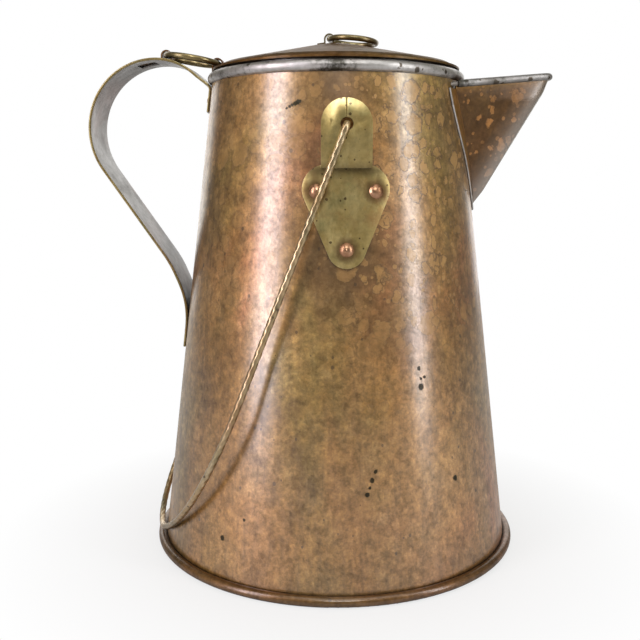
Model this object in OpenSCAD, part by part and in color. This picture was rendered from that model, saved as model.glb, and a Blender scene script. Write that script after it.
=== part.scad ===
// Sheet-copper coffee pot with a strap handle, a hinged lid, a V spout and a wire bail.
// Z is up, the base stands on z = 0, the spout points to +X and the strap handle to -X.

/* [Body] */
// Outer radius of the wall where it meets the base
base_r = 85.3; // [80:0.1:92]
// Outer radius of the wall just under the rim
rim_r = 58.2; // [57:0.1:60]
// Height at which the rim radius is measured
rim_h = 220; // [216:1:222]
// Thickness of the body sheet
sheet = 1; // [0.7:0.1:1.2]
// Outer radius of the rolled rim bead
rim_roll_r = 2.4; // [2.2:0.1:2.6]
// Radius of the wire that the rim is rolled over
rim_wire_r = 1.35; // [1.0:0.05:1.4]
// Radius of the round seam bead at the base
base_bead_r = 2.25; // [2:0.05:2.5]
// Diameter of one strainer hole behind the spout
strainer_d = 3.4; // [2.5:0.1:3.6]

/* [Spout] */
// Distance from the pot's axis to the outer tip of the spout
spout_tip_x = 101.5; // [96:0.5:106]
// Height of the spout's upper edge at the body
spout_root_z = 217.6; // [214:0.1:218]
// Height of the spout's upper edge at the tip
spout_tip_z = 222.6; // [220:0.1:225]
// Half of the spout's width at the body
spout_half_w = 25; // [23:0.5:27]
// Height of the point where the spout runs into the body
spout_foot_z = 164; // [158:1:170]
// Rounding of the spout's nose, seen from above
spout_nose_r = 5.5; // [4:0.5:8]
// Outer radius of the hem rolled along the spout's edge
hem_r = 1.65; // [1.5:0.05:1.8]
// Radius of the wire inside that hem
hem_wire_r = 1; // [0.8:0.05:1.05]
// Half of the soldered flange's width at the spout's edge
flange_half_w = 29; // [27.5:0.5:31]

/* [Strap handle] */
// Width of the strap
strap_w = 25; // [20:0.5:28]
// Thickness of the strap
strap_t = 1.2; // [1:0.1:1.5]
// Radius of the big loop
loop_r = 33; // [32:0.5:34]
// Length of the straight stretch under the loop
strap_straight = 47.9; // [47:0.1:49]
// Radius of the lower bend that meets the body
lower_bend_r = 51.6; // [51:0.1:52.2]

/* [Bail and ears] */
// Turn of the line through the two ears, away from square to the handle
ear_turn = 7; // [0:0.5:8]
// Height of the ear holes
ear_z = 198.2; // [196:0.1:200]
// Width of an ear's upper tab
tab_w = 21; // [19:0.5:22]
// Distance from the pot's axis to the outer face of a tab
tab_out = 66.6; // [66.4:0.1:67]
// Thickness of the ear plate
ear_t = 1.2; // [1:0.1:1.3]
// Diameter of the ear holes
ear_hole_d = 5.3; // [5:0.1:5.6]
// Radius of the bail wire
bail_r = 1.5; // [1.3:0.05:1.6]

/* [Lid] */
// Outer radius of the lid
lid_r = 57.8; // [57.5:0.1:58.2]
// Thickness of the lid sheet
lid_t = 0.9; // [0.7:0.1:1.1]
// Height of the lid's flat edge, at its underside
lid_z = 225.6; // [225.2:0.1:226]
// Outer radius of the collar that enters the mouth
collar_r = 53.4; // [50:0.1:53.6]
// Depth of the collar below the lid's edge
collar_depth = 11.5; // [8:0.5:13]
// Outer diameter of the ring that links lid and handle
hinge_ring_d = 27.9; // [27.5:0.1:28.3]
// Wire radius of that ring
hinge_wire_r = 1.45; // [1.3:0.05:1.5]
// Outer diameter of the pull ring on the lid
pull_ring_d = 24.6; // [22:0.1:26]
// Wire radius of the pull ring
pull_wire_r = 1.3; // [1.1:0.05:1.35]

/* [Hidden] */
$fn = 96;
gap = 0.05;                       // soldered faces stay this far apart
slope = (base_r - rim_r) / rim_h; // the wall leans in by this much per mm of height
lean = atan(slope);
function wall_r(z) = base_r - slope * z;

// A point at a distance and an angle, and the points of an arc
function polar(r, a) = [r * cos(a), r * sin(a)];
function arc(c, r, a0, a1, n = 24) = [for (i = [0 : n]) c + polar(r, a0 + (a1 - a0) * i / n)];
function unit(v) = v / norm(v);

rim_c = [rim_r - 0.4, rim_h + 2.1];
pan_wall_z = 0.95;
pan_t = 0.9;
pan_edge_h = 4;
pan_groove_z = 2.2;
pan_centre_r = 70;
pan_step_w = 3;

rivet_r = 1.4;
rivet_hole_r = rivet_r + gap;
rivet_head_r = 3;
rivet_head_h = 1.5;
rivet_tail_h = 0.9;

ear_az = ear_turn - 90;
ear_rivets_yz = [[-12.2, 171], [12.2, 171], [0, 147.2]];
shield_arc_r = 10;
shield_top = [8.2, 172];
shield_tip = [0, 147.7];
shield_tip_r = 8;
step_z = 181.7;
crease_w = 0.5;

upper_rivet_z = 213;
lower_rivet_z = 101;
upper_foot = [207, 217];
lower_foot = [94.7, 108];

// Strap route in the XZ plane, as its outer face: a sharp bend at the body, a shallow arc,
// the big loop, a straight stretch and a reverse bend that lands on the body
loop_c = [-83.65, 199];
crown_r = 27.8;
crown_c = loop_c + [0, loop_r - crown_r];
crown_a = 47;
straight_a = 215;
foot_bend_r = 3.5;
loop_end = loop_c + polar(loop_r, straight_a);
straight_end = loop_end + strap_straight * polar(1, straight_a + 90);
lower_c = straight_end + lower_bend_r * polar(1, straight_a);
crown_start = crown_c + polar(crown_r, crown_a);
neck_run = 6.8;
foot_run = 1.5;
foot_c = crown_start + neck_run * polar(1, crown_a - 90) - foot_bend_r * polar(1, crown_a);
slot_x = [-94, -85];
slot_w = 9;

// Hinge ring: its two axes are the centres of the strap's tongue and of the lid's tab
tongue_w = 5.2;
knuckle_in = 2;
knuckle_t = 0.7;
ring_a = [-80.6, 234.1];
ring_b = [-56.1, 230.2];
ring_tilt = atan2(ring_a.y - ring_b.y, ring_b.x - ring_a.x);
hinge_ring_r = hinge_ring_d / 2 - hinge_wire_r;
ring_mid = (ring_a + ring_b) / 2;

// Lid outline from its edge to its centre, at the upper face
lid_crown = 238.9;
cone_a = 12.5;
crown_dome_r = 50;
cone_top = [crown_dome_r * sin(cone_a), lid_crown - crown_dome_r * (1 - cos(cone_a))];
cone_foot_r = 54;
cone_foot = [cone_foot_r, cone_top.y - (cone_foot_r - cone_top.x) * tan(cone_a)];
function lid_top(dz) = concat(
    [[lid_r, lid_z + lid_t + dz], [lid_r - 1.4, lid_z + lid_t + 0.1 + dz],
     [lid_r - 2.4, lid_z + lid_t + 0.9 + dz], cone_foot + [0, dz]],
    [for (i = [0 : 12]) let (a = cone_a * (1 - i / 12))
        [crown_dome_r * sin(a), lid_crown - crown_dome_r * (1 - cos(a)) + dz]]);

staple_in = 1.8;
staple_t = 0.7;
staple_w = 4;
staple_c = [-2.9, 241];
pull_ring_r = pull_ring_d / 2 - pull_wire_r;
pull_tilt = 5;

// Bail: its lowest point, the direction of the wire there, and where each leg turns in
bail_low = [-84.7, -20, 7.2];
bail_low_turn = 17;
leg_out_near = 68.7;
leg_out_far = 72.8;
near_arcs = [26, 20, 92];
far_arcs = [46, 44, 86];
hook_r = 2.2;
hook_out = 63.6;
hook_len = 3.2;

copper = "#a87850";
dark_copper = "#7c5638";
brass = "#9c8748";
tin = "#b9b8b2";

// Everything inside the wall's outer face, grown by a distance, from one height to another
module cone_solid(grow, z0, z1) {
    translate([0, 0, z0])
        cylinder(h = z1 - z0, r1 = wall_r(z0) + grow, r2 = wall_r(z1) + grow);
}

// A layer that lies on the wall
module wall_skin(t, z0, z1) {
    difference() {
        cone_solid(gap + t, z0, z1);
        cone_solid(gap, z0 - 1, z1 + 1);
    }
}

// Places its children on the wall, with +Z along the wall's outward normal
module on_wall(az, z, y = 0) {
    rotate([0, 0, az + asin(y / wall_r(z))])
        translate([wall_r(z), 0, z]) rotate([0, 90 - lean, 0]) children();
}

// A domed rivet through the wall and whatever lies on it
module rivet(grip) {
    cap_r = (rivet_head_r ^ 2 + rivet_head_h ^ 2) / (2 * rivet_head_h);
    translate([0, 0, grip]) intersection() {
        translate([0, 0, rivet_head_h - cap_r]) sphere(r = cap_r);
        cylinder(h = rivet_head_h, r = rivet_head_r);
    }
    translate([0, 0, -sheet - gap - rivet_tail_h])
        cylinder(h = sheet + gap + rivet_tail_h + grip, r = rivet_r);
    translate([0, 0, -sheet - gap - rivet_tail_h]) cylinder(h = rivet_tail_h, r = rivet_head_r - 0.8);
}

module rivet_hole() { translate([0, 0, -4]) cylinder(h = 10, r = rivet_hole_r); }

module at_ear_rivets(az) {
    for (p = ear_rivets_yz) on_wall(az, p.y, p.x) children();
}

module at_strap_rivets() {
    for (z = [upper_rivet_z, lower_rivet_z]) on_wall(180, z) children();
}

module body_shell() {
    color(copper) difference() {
        union() {
            rotate_extrude() difference() {
                union() {
                    polygon([[wall_r(pan_wall_z + gap) - sheet, pan_wall_z + gap],
                        [wall_r(pan_wall_z + gap), pan_wall_z + gap],
                        [wall_r(rim_c.y), rim_c.y], [wall_r(rim_c.y) - sheet, rim_c.y]]);
                    translate(rim_c) circle(r = rim_roll_r);
                }
                translate(rim_c) circle(r = rim_wire_r + gap);
            }
            side_seam();
        }
        strainer_holes();
        at_ear_rivets(ear_az) rivet_hole();
        at_ear_rivets(ear_az + 180) rivet_hole();
        at_strap_rivets() rivet_hole();
    }
}

// The lapped seam that closes the wall, on the inside beside the handle
module side_seam() {
    seam_w = 7;
    seam_t = 0.8;
    rotate([0, 0, 196]) intersection() {
        difference() {
            cone_solid(-sheet + 0.1, 8, 214);
            cone_solid(-sheet - seam_t, 7, 215);
        }
        translate([base_r / 2, -seam_w / 2, 0]) cube([base_r, seam_w, rim_h]);
    }
}

// Rows of round holes that hold back the grounds
module strainer_holes() {
    rows = 6;
    pitch = 6.3;
    row_step = 7.4;
    for (i = [0 : rows - 1]) {
        z = spout_root_z - 9 - i * row_step;
        for (k = [0 : rows - 1 - i])
            on_wall(0, z, (k - (rows - 1 - i) / 2) * pitch)
                translate([0, 0, -3]) cylinder(h = 6, r = strainer_d / 2);
    }
}

module rim_wire() {
    color(tin) rotate_extrude() translate(rim_c) circle(r = rim_wire_r);
}

// Pressed bottom: a flat centre the pot stands on, a groove round it, and an edge that is
// turned round the wall's lower end
module base_pan() {
    flange_out = wall_r(pan_edge_h) - sheet - gap;
    step_top = pan_centre_r + pan_step_w;
    color(dark_copper) rotate_extrude() difference() {
        union() {
            translate([wall_r(0) + 1.4, base_bead_r]) circle(r = base_bead_r);
            translate([flange_out - pan_t, 0]) square([wall_r(0) + 1.4 - flange_out + pan_t, pan_wall_z]);
            translate([flange_out - pan_t, 0]) square([pan_t, pan_edge_h]);
            polygon([[0, 0], [pan_centre_r, 0], [step_top, pan_groove_z], [flange_out - 0.2, pan_groove_z],
                [flange_out - 0.2, pan_groove_z + pan_t], [step_top - 0.4, pan_groove_z + pan_t],
                [pan_centre_r - 0.4, pan_t], [0, pan_t]]);
        }
        polygon([[flange_out, pan_wall_z], [wall_r(0) + gap, pan_wall_z],
            [wall_r(6) + gap, 6], [flange_out, 6]]);
    }
}

// The spout's edge lies in a plane that climbs to the tip; in that plane it is a V with a
// round nose, drawn here from the body outward and pulled in by a distance
edge_a = atan2(spout_tip_z - spout_root_z, spout_tip_x - rim_r);
root_x = sqrt(wall_r(spout_root_z) ^ 2 - spout_half_w ^ 2);
nose_x = spout_tip_x - hem_r - spout_nose_r;
side_a = atan2(spout_half_w, nose_x - root_x)
    - asin(spout_nose_r / norm([nose_x - root_x, spout_half_w]));
back_x = 40;

module spout_plan(pull) {
    n = [sin(side_a), cos(side_a)];
    r = max(spout_nose_r - pull, 0.3);
    start = [nose_x, 0] + r * n;
    back = start + (nose_x - back_x) * [-1, tan(side_a)];
    polygon(concat([[back_x, -back.y]], arc([nose_x, 0], r, side_a - 90, 90 - side_a, 18),
        [[back_x, back.y]]));
}

module in_edge_plane() {
    translate([root_x, 0, spout_root_z]) rotate([0, -edge_a, 0]) translate([-root_x, 0, 0]) children();
}

// The solid wedge that the spout's sheet wraps
module spout_wedge(pull) {
    hull() {
        in_edge_plane() linear_extrude(0.01) spout_plan(pull);
        translate([wall_r(spout_foot_z) - 1 - 1.6 * pull, 0, spout_foot_z + 1.6 * pull])
            sphere(r = 0.4, $fn = 12);
    }
}

// Round bar along the spout's edge
function edge_pt(p) = [root_x + (p.x - root_x) * cos(edge_a), p.y,
    spout_root_z + (p.x - root_x) * sin(edge_a)];

module edge_bar(r) {
    nose = arc([nose_x, 0], spout_nose_r, side_a - 90, 90 - side_a, 16);
    back = 3 * [-cos(side_a), sin(side_a)] + [root_x, spout_half_w];
    tube([for (p = concat([[back.x, -back.y]], nose, [back])) edge_pt(p)], r, 20);
}

module spout() {
    color(copper) {
        difference() {
            spout_wedge(0);
            spout_wedge(sheet);
            cone_solid(gap, spout_foot_z - 12, rim_h + 12);
            in_edge_plane() translate([0, -50, -hem_r]) cube([100, 100, 20]);
        }
        difference() {
            spout_flange();
            spout_wedge(gap);
        }
    }
}

// The spout's tinned edge, rolled over its wire
module spout_hem() {
    color(tin) difference() {
        edge_bar(hem_r);
        edge_bar(hem_wire_r + gap);
        cone_solid(gap, spout_foot_z, rim_h + 12);
    }
}

module spout_flange() {
    foot_w = 3;
    top = spout_root_z - hem_r - 0.1;
    belly = [flange_half_w - 2.5, spout_root_z - 15];
    side = [[flange_half_w, top], belly, [foot_w, spout_foot_z - 4]];
    intersection() {
        wall_skin(0.8, spout_foot_z - 8, top);
        translate([30, 0, 0]) rotate([90, 0, 90]) linear_extrude(60)
            polygon(concat([for (p = side) [-p.x, p.y]], reversed(side)));
    }
}

module spout_rim_wire() {
    color(tin) difference() {
        edge_bar(hem_wire_r);
        cone_solid(gap, spout_foot_z, rim_h + 12);
    }
}

// The strap's side outline: the outer face's points and the same points pulled in
function strap_face(d) = concat(
    [foot_c + polar(foot_bend_r - d, -lean) + foot_run * polar(1, -90 - lean)],
    arc(foot_c, foot_bend_r - d, -lean, crown_a, 6),
    arc(crown_c, crown_r - d, crown_a, 85, 7),
    arc(loop_c, loop_r - d, 90, straight_a, 28),
    arc(lower_c, lower_bend_r + d, straight_a - 180, -lean, 10));

function reversed(list) = [for (i = [len(list) - 1 : -1 : 0]) list[i]];

module strap_side() { polygon(concat(strap_face(0), reversed(strap_face(strap_t)))); }

// Turns an outline drawn in X and Z into a plate that is centred on Y = 0
module plate_xz(w) {
    translate([0, w / 2, 0]) rotate([90, 0, 0]) linear_extrude(w) children();
}

module knuckle_side(c, r_in, t, left_leg, right_leg) {
    difference() {
        translate(c) circle(r = r_in + t);
        translate(c) circle(r = r_in);
        translate(c + [-10, -20]) square([20, 20]);
    }
    translate(c + [-r_in - t, -left_leg]) square([t, left_leg]);
    translate(c + [r_in, -right_leg]) square([t, right_leg]);
}

module handle_strap() {
    color(tin) difference() {
        union() {
            difference() {
                plate_xz(strap_w) strap_side();
                translate([slot_x[0], -slot_w / 2, loop_c.y])
                    cube([slot_x[1] - slot_x[0], slot_w, loop_r + 10]);
            }
            for (f = [upper_foot, lower_foot]) intersection() {
                wall_skin(strap_t, f[0], f[1]);
                translate([-base_r - 10, -strap_w / 2, 0]) cube([base_r, strap_w, rim_h]);
            }
        }
        at_strap_rivets() rivet_hole();
    }
}

// The small plate that covers the strap's slot and curls round the hinge ring
module ring_loop() {
    over = 1.5;
    left = ring_a.x - knuckle_in - knuckle_t;
    color(dark_copper) difference() {
        union() {
            intersection() {
                plate_xz(slot_w + 2) difference() {
                    translate(loop_c) circle(r = loop_r + gap + knuckle_t);
                    translate(loop_c) circle(r = loop_r + gap);
                }
                translate([slot_x[0] - over, -strap_w / 2, loop_c.y])
                    cube([left + knuckle_t - slot_x[0] + over, strap_w, loop_r + 10]);
            }
            plate_xz(tongue_w) knuckle_side(ring_a, knuckle_in, knuckle_t, 2.2, 2.2);
        }
        translate([loop_c.x, 0, loop_c.y]) rotate([90, 0, 0])
            cylinder(h = strap_w, r = loop_r + gap, center = true);
        translate([ring_a.x, -strap_w / 2, loop_c.y]) cube([10, strap_w, loop_r - 0.6]);
    }
}

module handle_rivets() {
    color("#8a6a50") at_strap_rivets() rivet(strap_t + 2 * gap);
}

// One ear: a shield that lies on the wall, a step, and a raised tab with the hole
module ear() {
    difference() {
        union() {
            intersection() {
                wall_skin(ear_t, shield_tip.y - 12, step_z);
                translate([30, 0, 0]) rotate([90, 0, 90]) linear_extrude(60) shield_outline();
            }
            difference() {
                translate([50, -tab_w / 2, step_z - ear_t]) cube([tab_out - 50, tab_w, ear_t]);
                cone_solid(gap, 150, rim_h);
            }
            translate([tab_out - ear_t, -tab_w / 2, step_z - ear_t]) cube([ear_t, tab_w, ear_z - step_z + ear_t]);
            translate([tab_out - ear_t, 0, ear_z]) rotate([0, 90, 0]) cylinder(h = ear_t, r = tab_w / 2);
        }
        translate([50, 0, ear_z]) rotate([0, 90, 0]) cylinder(h = 30, r = ear_hole_d / 2);
        translate([tab_out, 0, ear_z]) rotate([0, 0, 45])
            translate([-crease_w / 2, -crease_w / 2, 0]) cube([crease_w, crease_w, tab_w]);
        at_ear_rivets(0) rivet_hole();
    }
}

module shield_outline() {
    side_n = atan2(-(shield_top.x - shield_tip.x), shield_top.y - shield_tip.y)
        - asin((shield_arc_r - shield_tip_r) / norm(shield_top - shield_tip)) + 4;
    right = concat(arc(shield_tip, shield_tip_r, -90, side_n, 10),
        arc(shield_top, shield_arc_r, side_n, 90 - asin((step_z - shield_top.y) / shield_arc_r) + 62, 16));
    polygon(concat(right, [[tab_w / 2, step_z], [-tab_w / 2, step_z]],
        [for (p = reversed(right)) [-p.x, p.y]]));
}

module near_ear() { color(brass) rotate([0, 0, ear_az]) ear(); }

module far_ear() { color(brass) rotate([0, 0, ear_az + 180]) ear(); }

module ear_rivets() {
    color("#a8705a") for (az = [ear_az, ear_az + 180]) at_ear_rivets(az) rivet(ear_t + 2 * gap);
}

// Points of an arc that starts at o along x and turns towards a second direction
function turn_pts(o, x, toward, r, a, n) =
    let (ex = unit(x), ey = unit(toward - (toward * ex) * ex))
        [for (i = [1 : n]) o + r * (sin(a * i / n) * ex + (1 - cos(a * i / n)) * ey)];

// Half of the bail, from its lowest point: two arcs, a straight leg, in through the ear's
// hole, and a short hook behind it
function bail_half(x, end, inward, arcs) =
    let (d = end - bail_low, ex = unit(x), ey = unit(d - (d * ex) * ex),
        e = [d * ex, d * ey],
        first_end = arcs[0] * [sin(arcs[1]), 1 - cos(arcs[1])],
        c2 = first_end + arcs[2] * [-sin(arcs[1]), cos(arcs[1])],
        run = sqrt(norm(e - c2) ^ 2 - arcs[2] ^ 2),
        heading = atan2(e.y - c2.y, e.x - c2.x) + atan2(arcs[2], run),
        first = turn_pts(bail_low, ex, ey, arcs[0], arcs[1], 6),
        mid_dir = cos(arcs[1]) * ex + sin(arcs[1]) * ey,
        second = turn_pts(first[5], mid_dir, ey * cos(arcs[1]) - ex * sin(arcs[1]), arcs[2],
            heading - arcs[1], 18),
        leg = cos(heading) * ex + sin(heading) * ey,
        turn = acos(leg * inward),
        corner = end - hook_r * tan(turn / 2) * leg,
        reach = norm([end.x, end.y]) - hook_out,
        behind = end + (reach - hook_r) * inward,
        down = unit((leg * inward) * inward - leg),
        hook = turn_pts(behind, inward, down, hook_r, 90, 6))
    concat(first, second, [corner], turn_pts(corner, leg, inward, hook_r, turn, 8), [behind],
        hook, [hook[5] + hook_len * down]);

// A round bar swept along a list of points
module tube(path, r, sides) {
    n = len(path);
    tangent = [for (i = [0 : n - 1]) unit(path[min(i + 1, n - 1)] - path[max(i - 1, 0)])];
    side = side_vectors(tangent, unit(cross(tangent[0], [0, 0, 1])));
    rings = [for (i = [0 : n - 1]) for (k = [0 : sides - 1])
        let (a = 360 * k / sides) path[i] + r * (cos(a) * side[i] + sin(a) * cross(tangent[i], side[i]))];
    polyhedron(points = rings, faces = concat(
        [[for (k = [0 : sides - 1]) k]],
        [for (i = [0 : n - 2]) for (k = [0 : sides - 1])
            [i * sides + k, (i + 1) * sides + k,
                (i + 1) * sides + (k + 1) % sides, i * sides + (k + 1) % sides]],
        [[for (k = [sides - 1 : -1 : 0]) (n - 1) * sides + k]]));
}

// Carries a sideways direction along the path without twisting it
function side_vectors(tangent, s, i = 0) = i == len(tangent) ? [] :
    let (v = unit(s - (s * tangent[i]) * tangent[i])) concat([v], side_vectors(tangent, v, i + 1));

module bail() {
    out = [cos(ear_az), sin(ear_az), 0];
    along = [sin(bail_low_turn), -cos(bail_low_turn), 0];
    near = bail_half(along, leg_out_near * out + [0, 0, ear_z], -out, near_arcs);
    far = bail_half(-along, -leg_out_far * out + [0, 0, ear_z], out, far_arcs);
    color(brass) tube(concat(reversed(near), [bail_low], far), bail_r, 16);
}

module ring(mid, tilt, r, wire_r) {
    translate([mid.x, 0, mid.y]) rotate([0, tilt, 0])
        rotate_extrude() translate([r, 0]) circle(r = wire_r);
}

module hinge_ring() {
    color(brass) ring(ring_mid, ring_tilt, hinge_ring_r, hinge_wire_r);
}

module lid_cover() {
    edge_in = lid_r - 3.4;
    color(dark_copper) rotate_extrude()
        polygon(concat([[lid_r, lid_z]], lid_top(0),
            [for (i = [len(lid_top(0)) - 1 : -1 : 3]) lid_top(-lid_t)[i]], [[edge_in, lid_z]]));
}

module lid_collar() {
    color(tin) translate([0, 0, lid_z - collar_depth]) difference() {
        cylinder(h = collar_depth - gap, r = collar_r);
        translate([0, 0, -1]) cylinder(h = collar_depth + 2, r = collar_r - 0.8);
    }
}

// A small plate that lies on the lid between two X values
module on_lid(x0, x1, w, t) {
    intersection() {
        rotate_extrude() polygon(concat(lid_top(t + gap), [[0, lid_crown + gap]],
            reversed(lid_top(gap))));
        translate([x0, -w / 2, lid_z]) cube([x1 - x0, w, 20]);
    }
}

module lid_hinge_tab() {
    leg_out = ring_b.y - lid_z;
    tab_x = ring_b.x - knuckle_in - knuckle_t;
    color(dark_copper) difference() {
        union() {
            plate_xz(tongue_w) {
                knuckle_side(ring_b, knuckle_in, knuckle_t, leg_out, 1.6);
                translate([tab_x, lid_z]) square([-lid_r - gap - tab_x, knuckle_t]);
            }
            on_lid(ring_b.x + knuckle_in, -45, tongue_w, 0.8);
        }
        rotate_extrude() polygon(concat([[0, lid_z]], [[lid_r + gap, lid_z - 1]], lid_top(gap)));
    }
}

module ring_staple() {
    foot = 3.2;
    far = staple_in + staple_t;
    color(brass) difference() {
        union() {
            plate_xz(staple_w) knuckle_side(staple_c, staple_in, staple_t, 2, 2);
            on_lid(staple_c.x - far - foot, staple_c.x - staple_in, staple_w, 0.8);
            on_lid(staple_c.x + staple_in, staple_c.x + far + foot, staple_w, 0.8);
        }
        rotate_extrude() polygon(concat([[0, lid_z]], lid_top(gap)));
    }
}

module lid_ring() {
    color(brass) translate([staple_c.x, 0, staple_c.y]) rotate([0, pull_tilt, 0])
        translate([pull_ring_r, 0, 0]) rotate_extrude() translate([pull_ring_r, 0]) circle(r = pull_wire_r);
}

body_shell();
rim_wire();
base_pan();
spout();
spout_hem();
spout_rim_wire();
handle_strap();
ring_loop();
handle_rivets();
near_ear();
far_ear();
ear_rivets();
bail();
hinge_ring();
lid_cover();
lid_collar();
lid_hinge_tab();
ring_staple();
lid_ring();
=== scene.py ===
"""Looks for the sheet-copper coffee pot: tarnished copper, tinned edges, brass ears and a twisted bail."""
import math

import bmesh
import bpy
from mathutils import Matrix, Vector


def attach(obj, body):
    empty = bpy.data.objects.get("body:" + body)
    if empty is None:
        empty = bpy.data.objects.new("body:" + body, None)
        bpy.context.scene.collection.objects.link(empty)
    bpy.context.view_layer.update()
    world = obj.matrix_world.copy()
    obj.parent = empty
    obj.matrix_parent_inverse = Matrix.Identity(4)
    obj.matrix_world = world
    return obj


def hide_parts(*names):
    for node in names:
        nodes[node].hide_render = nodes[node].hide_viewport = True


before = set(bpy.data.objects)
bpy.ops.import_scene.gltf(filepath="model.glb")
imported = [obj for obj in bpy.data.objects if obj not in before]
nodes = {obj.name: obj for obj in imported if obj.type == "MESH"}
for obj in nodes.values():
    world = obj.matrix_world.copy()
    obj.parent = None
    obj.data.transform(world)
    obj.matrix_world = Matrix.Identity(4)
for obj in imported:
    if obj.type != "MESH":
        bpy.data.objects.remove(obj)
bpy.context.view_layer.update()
MM = 0.001

# ------------------------------------------------ sizes shared with the CAD part, in mm and degrees
# The wall is a cone; GAP is the room between two soldered sheets
BASE_R, RIM_R, RIM_H = 85.3, 58.2, 220.0
SLOPE = (BASE_R - RIM_R) / RIM_H
LEAN = math.atan(SLOPE)
GAP, SHEET = 0.05, 1.0
# How far a piece's edge stays inside the CAD solid that it stands for
SLACK = 0.02

# The strap: its big loop, the tighter crown, where the loop runs out, its bends, its ends and its slot
STRAP_W, STRAP_T = 25.0, 1.2
LOOP_C, LOOP_R = (-83.65, 199.0), 33.0
CROWN_R, CROWN_A = 27.8, 47.0
STRAIGHT_A = 215.0
LOWER_BEND_R, FOOT_BEND_R = 51.6, 3.5
STRAP_TOP_Z, STRAP_END_Z = 207.0, 94.7
SLOT_X, SLOT_W = (-94.0, -85.0), 9.0
# Up to STRAP_TOUCH from the wall the strap is as round as the wall; STRAP_FOLLOW further out it is flat
STRAP_TOUCH, STRAP_FOLLOW = 0.7, 7.0

# The ears: the near one's turn from the front, the hole's height, the rivets as (side, height), and the tab,
# which leans in above TAB_LEAN_Z by TAB_LEAN times the square of the rise
EAR_TURN, EAR_Z = 7.0, 198.2
EAR_RIVETS = [(-12.2, 171.0), (12.2, 171.0), (0.0, 147.2)]
TAB_LEAN_Z, TAB_LEAN = 198.4, 0.023

# The bail: its lowest point, the legs' distance from the axis, the bends of each half and the hooks
BAIL_R = 1.5
BAIL_LOW, BAIL_LOW_TURN = (-84.7, -20.0, 7.2), 17.0
LEG_OUT_NEAR, LEG_OUT_FAR = 68.7, 72.8
NEAR_ARCS, FAR_ARCS = (26.0, 20.0, 92.0), (46.0, 44.0, 86.0)
HOOK_R, HOOK_OUT, HOOK_LEN = 2.2, 63.6, 3.2
TWIST_PITCH, TWIST_DEPTH, TWIST_FIT = 19.0, 0.09, 0.995
BAIL_STEP, BAIL_SIDES = 0.55, 24

# The spout: its tip, roots and foot, its nose, its rolled edge and its keel, fuller than a plain V
SPOUT_TIP_X, SPOUT_ROOT_Z, SPOUT_TIP_Z = 101.5, 217.6, 222.6
SPOUT_HALF_W, SPOUT_FOOT_Z, SPOUT_NOSE_R = 25.0, 164.0, 5.5
HEM_R = 1.65
KEEL_FOOT_Z, KEEL_OUT, KEEL_ROUND = 162.2, 1.25, 2.2
# Its flange: widest at the roots, with a corner below them and its point under the foot
FLANGE_HALF_W = 29.0
FLANGE_BELLY = (FLANGE_HALF_W - 2.5, SPOUT_ROOT_Z - 15)
FLANGE_POINT = (3.0, SPOUT_FOOT_Z - 4)
FLANGE_TOP_Z = SPOUT_ROOT_Z - HEM_R - 0.3
FLANGE_LEAST_W, FLANGE_SAG, FLANGE_T = 2.2, 1.6, 0.8
SOLDER_R = 0.5


def wall_r(z):
    return BASE_R - SLOPE * z


def on_wall(degrees, z, side, lift=1.0):
    """A point just off the wall at a height z, a distance side round from the direction given."""
    a = math.radians(degrees) + math.asin(side / wall_r(z))
    return ((wall_r(z) + lift) * math.cos(a), (wall_r(z) + lift) * math.sin(a), z)


def polar(r, degrees):
    a = math.radians(degrees)
    return Vector((r * math.cos(a), r * math.sin(a)))


# ---------------------------------------------------------------- mesh helpers
def new_object(name, verts, faces, body, stands_for=()):
    """A mesh in mm that rides on a body and stands for the CAD nodes named, if any."""
    mesh = bpy.data.meshes.new(name)
    mesh.from_pydata([Vector(v) * MM for v in verts], [], faces)
    mesh.validate()
    obj = bpy.data.objects.new(name, mesh)
    bpy.context.scene.collection.objects.link(obj)
    clean = bmesh.new()
    clean.from_mesh(mesh)
    bmesh.ops.recalc_face_normals(clean, faces=clean.faces)
    clean.to_mesh(mesh)
    clean.free()
    smooth(obj)
    if stands_for:
        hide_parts(*stands_for)
    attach(obj, body)
    return obj


def smooth(obj, angle=35.0):
    """Smooth shading, apart from edges that turn by more than the angle."""
    for polygon in obj.data.polygons:
        polygon.use_smooth = True
    sharp = bmesh.new()
    sharp.from_mesh(obj.data)
    for edge in sharp.edges:
        edge.smooth = edge.calc_face_angle(0.0) < math.radians(angle)
    sharp.to_mesh(obj.data)
    sharp.free()


def round_edges(obj, width_mm, angle):
    bevel = obj.modifiers.new("edge", "BEVEL")
    bevel.width = width_mm * MM
    bevel.segments = 3
    bevel.limit_method = "ANGLE"
    bevel.angle_limit = math.radians(angle)


def bake_modifiers(obj):
    bpy.context.view_layer.update()
    graph = bpy.context.evaluated_depsgraph_get()
    mesh = bpy.data.meshes.new_from_object(obj.evaluated_get(graph))
    obj.modifiers.clear()
    obj.data = mesh


def grid_faces(rows, columns, skip=None):
    """Faces of a grid of points, without those that skip(row, column) names."""
    return [
        (i * columns + k, i * columns + k + 1, (i + 1) * columns + k + 1, (i + 1) * columns + k)
        for i in range(rows - 1)
        for k in range(columns - 1)
        if not (skip and skip(i, k))
    ]


def soften(node, body, width_mm, angle=40.0):
    """A copy of a CAD node with its sharp edges rounded; it stands for the node."""
    obj = bpy.data.objects.new(node + "_soft", nodes[node].data.copy())
    bpy.context.scene.collection.objects.link(obj)
    work = bmesh.new()
    work.from_mesh(obj.data)
    bmesh.ops.remove_doubles(work, verts=work.verts, dist=2e-6)
    bmesh.ops.dissolve_limit(work, angle_limit=math.radians(1.0), verts=work.verts, edges=work.edges)
    work.to_mesh(obj.data)
    work.free()
    round_edges(obj, width_mm, angle)
    bake_modifiers(obj)
    smooth(obj)
    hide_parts(node)
    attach(obj, body)
    return obj


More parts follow.
